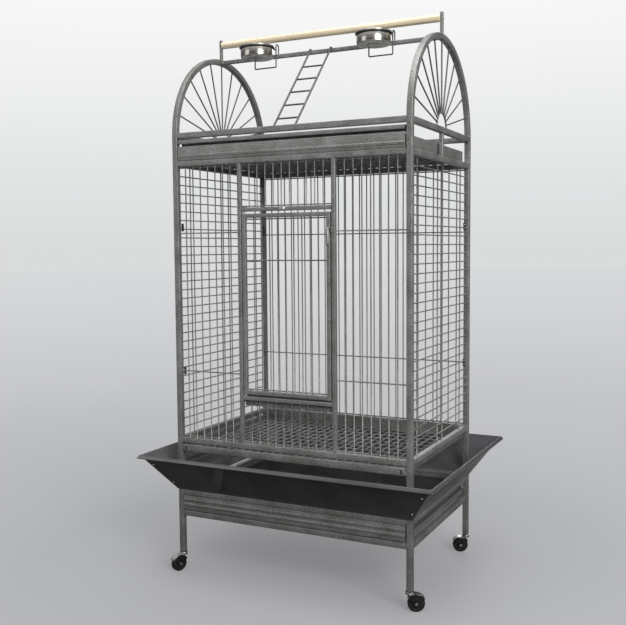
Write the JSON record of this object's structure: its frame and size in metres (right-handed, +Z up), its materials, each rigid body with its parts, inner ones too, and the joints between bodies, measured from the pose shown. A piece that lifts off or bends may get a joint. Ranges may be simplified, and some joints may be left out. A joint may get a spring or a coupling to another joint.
{
  "type": "play-top parrot cage",
  "caption": "Barred parrot cage on a castered stand with seed skirt, pull-out trays, hinged door, and an arched play-top with perch, ladder and bowls.",
  "frame": {"origin": "on the floor, under the middle of the cage", "axes": "+Z up, front and door face -Y, +X to the right as seen from the front"},
  "size_m": [1.005, 0.772, 1.7785],
  "materials": {
    "frame_coat": "hammered antique-silver powder coat",
    "skirt_coat": "gloss black powder coat",
    "stainless": "polished stainless steel",
    "caster_plate": "bright zinc plate",
    "wheel_rubber": "matt black rubber",
    "dowel": "bare beech"
  },
  "bodies": {
    "frame": {"leg_front_left": "frame_coat", "leg_front_right": "frame_coat", "leg_back_left": "frame_coat", "leg_back_right": "frame_coat", "rail_lower_front": "frame_coat", "rail_lower_back": "frame_coat", "rail_lower_left": "frame_coat", "rail_lower_right": "frame_coat", "rail_upper_front": "frame_coat", "rail_upper_back": "frame_coat", "rail_upper_left": "frame_coat", "rail_upper_right": "frame_coat", "tray_runner_left": "frame_coat", "tray_runner_right": "frame_coat", "grate_runner_left": "frame_coat", "grate_runner_right": "frame_coat", "side_panel_left": "frame_coat", "side_panel_right": "frame_coat", "back_panel": "frame_coat", "front_panel_left": "frame_coat", "front_panel_right": "frame_coat", "transom_panel": "frame_coat", "sill_panel": "frame_coat", "roof_grille": "frame_coat", "latch_keeper": "frame_coat", "arch_left": "frame_coat", "arch_right": "frame_coat", "play_rail_front": "frame_coat", "play_rail_back": "frame_coat", "top_bar": "frame_coat", "perch_upright_left": "frame_coat", "perch_upright_right": "frame_coat", "skirt_front": "skirt_coat", "skirt_back": "skirt_coat", "skirt_left": "skirt_coat", "skirt_right": "skirt_coat", "perch": "dowel"},
    "door": {"door": "frame_coat", "door_pivot_top": "frame_coat", "door_pivot_bottom": "frame_coat", "latch_plate": "frame_coat"},
    "latch": {"latch_lever": "stainless"},
    "turn_button": {"turn_button": "stainless"},
    "bottom_tray": {"bottom_tray": "frame_coat"},
    "floor_grate": {"floor_grate": "frame_coat"},
    "top_tray": {"top_tray": "frame_coat"},
    "ladder": {"ladder": "frame_coat"},
    "hanger_left": {"bowl_hanger_left": "frame_coat"},
    "hanger_right": {"bowl_hanger_right": "frame_coat"},
    "bowl_left": {"bowl_left": "stainless"},
    "bowl_right": {"bowl_right": "stainless"},
    "caster_front_left": {"caster_fork_front_left": "caster_plate"},
    "wheel_front_left": {"caster_wheel_front_left": "wheel_rubber"},
    "caster_front_right": {"caster_fork_front_right": "caster_plate"},
    "wheel_front_right": {"caster_wheel_front_right": "wheel_rubber"},
    "caster_back_left": {"caster_fork_back_left": "caster_plate"},
    "wheel_back_left": {"caster_wheel_back_left": "wheel_rubber"},
    "caster_back_right": {"caster_fork_back_right": "caster_plate"},
    "wheel_back_right": {"caster_wheel_back_right": "wheel_rubber"}
  },
  "joints": [
    {"name": "door_hinge", "type": "hinge", "parent": "frame", "child": "door", "pos_m": [-0.1458, -0.28365, 0.88615], "axis": [0, 0, -1], "range_deg": [0, 105]},
    {"name": "latch_swing", "type": "hinge", "parent": "door", "child": "latch", "pos_m": [0.1438, -0.292, 1.1165], "axis": [0, -1, 0], "range_deg": [0, 90]},
    {"name": "turn_button_turn", "type": "hinge", "parent": "frame", "child": "turn_button", "pos_m": [-0.0025, -0.2903, 1.18085], "axis": [0, -1, 0], "range_deg": [0, 90]},
    {"name": "bottom_tray_slide", "type": "slide", "parent": "frame", "child": "bottom_tray", "axis": [0, -1, 0], "range_m": [0, 0.45]},
    {"name": "floor_grate_slide", "type": "slide", "parent": "frame", "child": "floor_grate", "axis": [0, -1, 0], "range_m": [0, 0.45]},
    {"name": "top_tray_slide", "type": "slide", "parent": "frame", "child": "top_tray", "axis": [0, -1, 0], "range_m": [0, 0.45]},
    {"name": "ladder_slide", "type": "slide", "parent": "frame", "child": "ladder", "axis": [1, 0, 0], "range_m": [-0.04, 0.04]},
    {"name": "hanger_left_slide", "type": "slide", "parent": "frame", "child": "hanger_left", "axis": [1, 0, 0], "range_m": [-0.1, 0.05]},
    {"name": "hanger_right_slide", "type": "slide", "parent": "frame", "child": "hanger_right", "axis": [1, 0, 0], "range_m": [-0.05, 0.1]},
    {"name": "bowl_left_lift", "type": "slide", "parent": "hanger_left", "child": "bowl_left", "axis": [0, 0, 1], "range_m": [0, 0.02]},
    {"name": "bowl_right_lift", "type": "slide", "parent": "hanger_right", "child": "bowl_right", "axis": [0, 0, 1], "range_m": [0, 0.02]},
    {"name": "caster_front_left_swivel", "type": "hinge", "parent": "frame", "child": "caster_front_left", "pos_m": [-0.3975, -0.281, 0.0559], "axis": [0, 0, 1], "continuous": true},
    {"name": "wheel_front_left_roll", "type": "hinge", "parent": "caster_front_left", "child": "wheel_front_left", "pos_m": [-0.40511, -0.29731, 0.0255], "axis": [0.9063, -0.4226, 0], "continuous": true},
    {"name": "caster_front_right_swivel", "type": "hinge", "parent": "frame", "child": "caster_front_right", "pos_m": [0.3975, -0.281, 0.0559], "axis": [0, 0, 1], "continuous": true},
    {"name": "wheel_front_right_roll", "type": "hinge", "parent": "caster_front_right", "child": "wheel_front_right", "pos_m": [0.41368, -0.27311, 0.0255], "axis": [-0.4384, 0.8988, 0], "continuous": true},
    {"name": "caster_back_left_swivel", "type": "hinge", "parent": "frame", "child": "caster_back_left", "pos_m": [-0.3975, 0.281, 0.0559], "axis": [0, 0, 1], "continuous": true},
    {"name": "wheel_back_left_roll", "type": "hinge", "parent": "caster_back_left", "child": "wheel_back_left", "pos_m": [-0.40366, 0.29791, 0.0255], "axis": [-0.9397, -0.342, 0], "continuous": true},
    {"name": "caster_back_right_swivel", "type": "hinge", "parent": "frame", "child": "caster_back_right", "pos_m": [0.3975, 0.281, 0.0559], "axis": [0, 0, 1], "continuous": true},
    {"name": "wheel_back_right_roll", "type": "hinge", "parent": "caster_back_right", "child": "wheel_back_right", "pos_m": [0.38132, 0.27311, 0.0255], "axis": [0.4384, -0.8988, 0], "continuous": true}
  ]
}
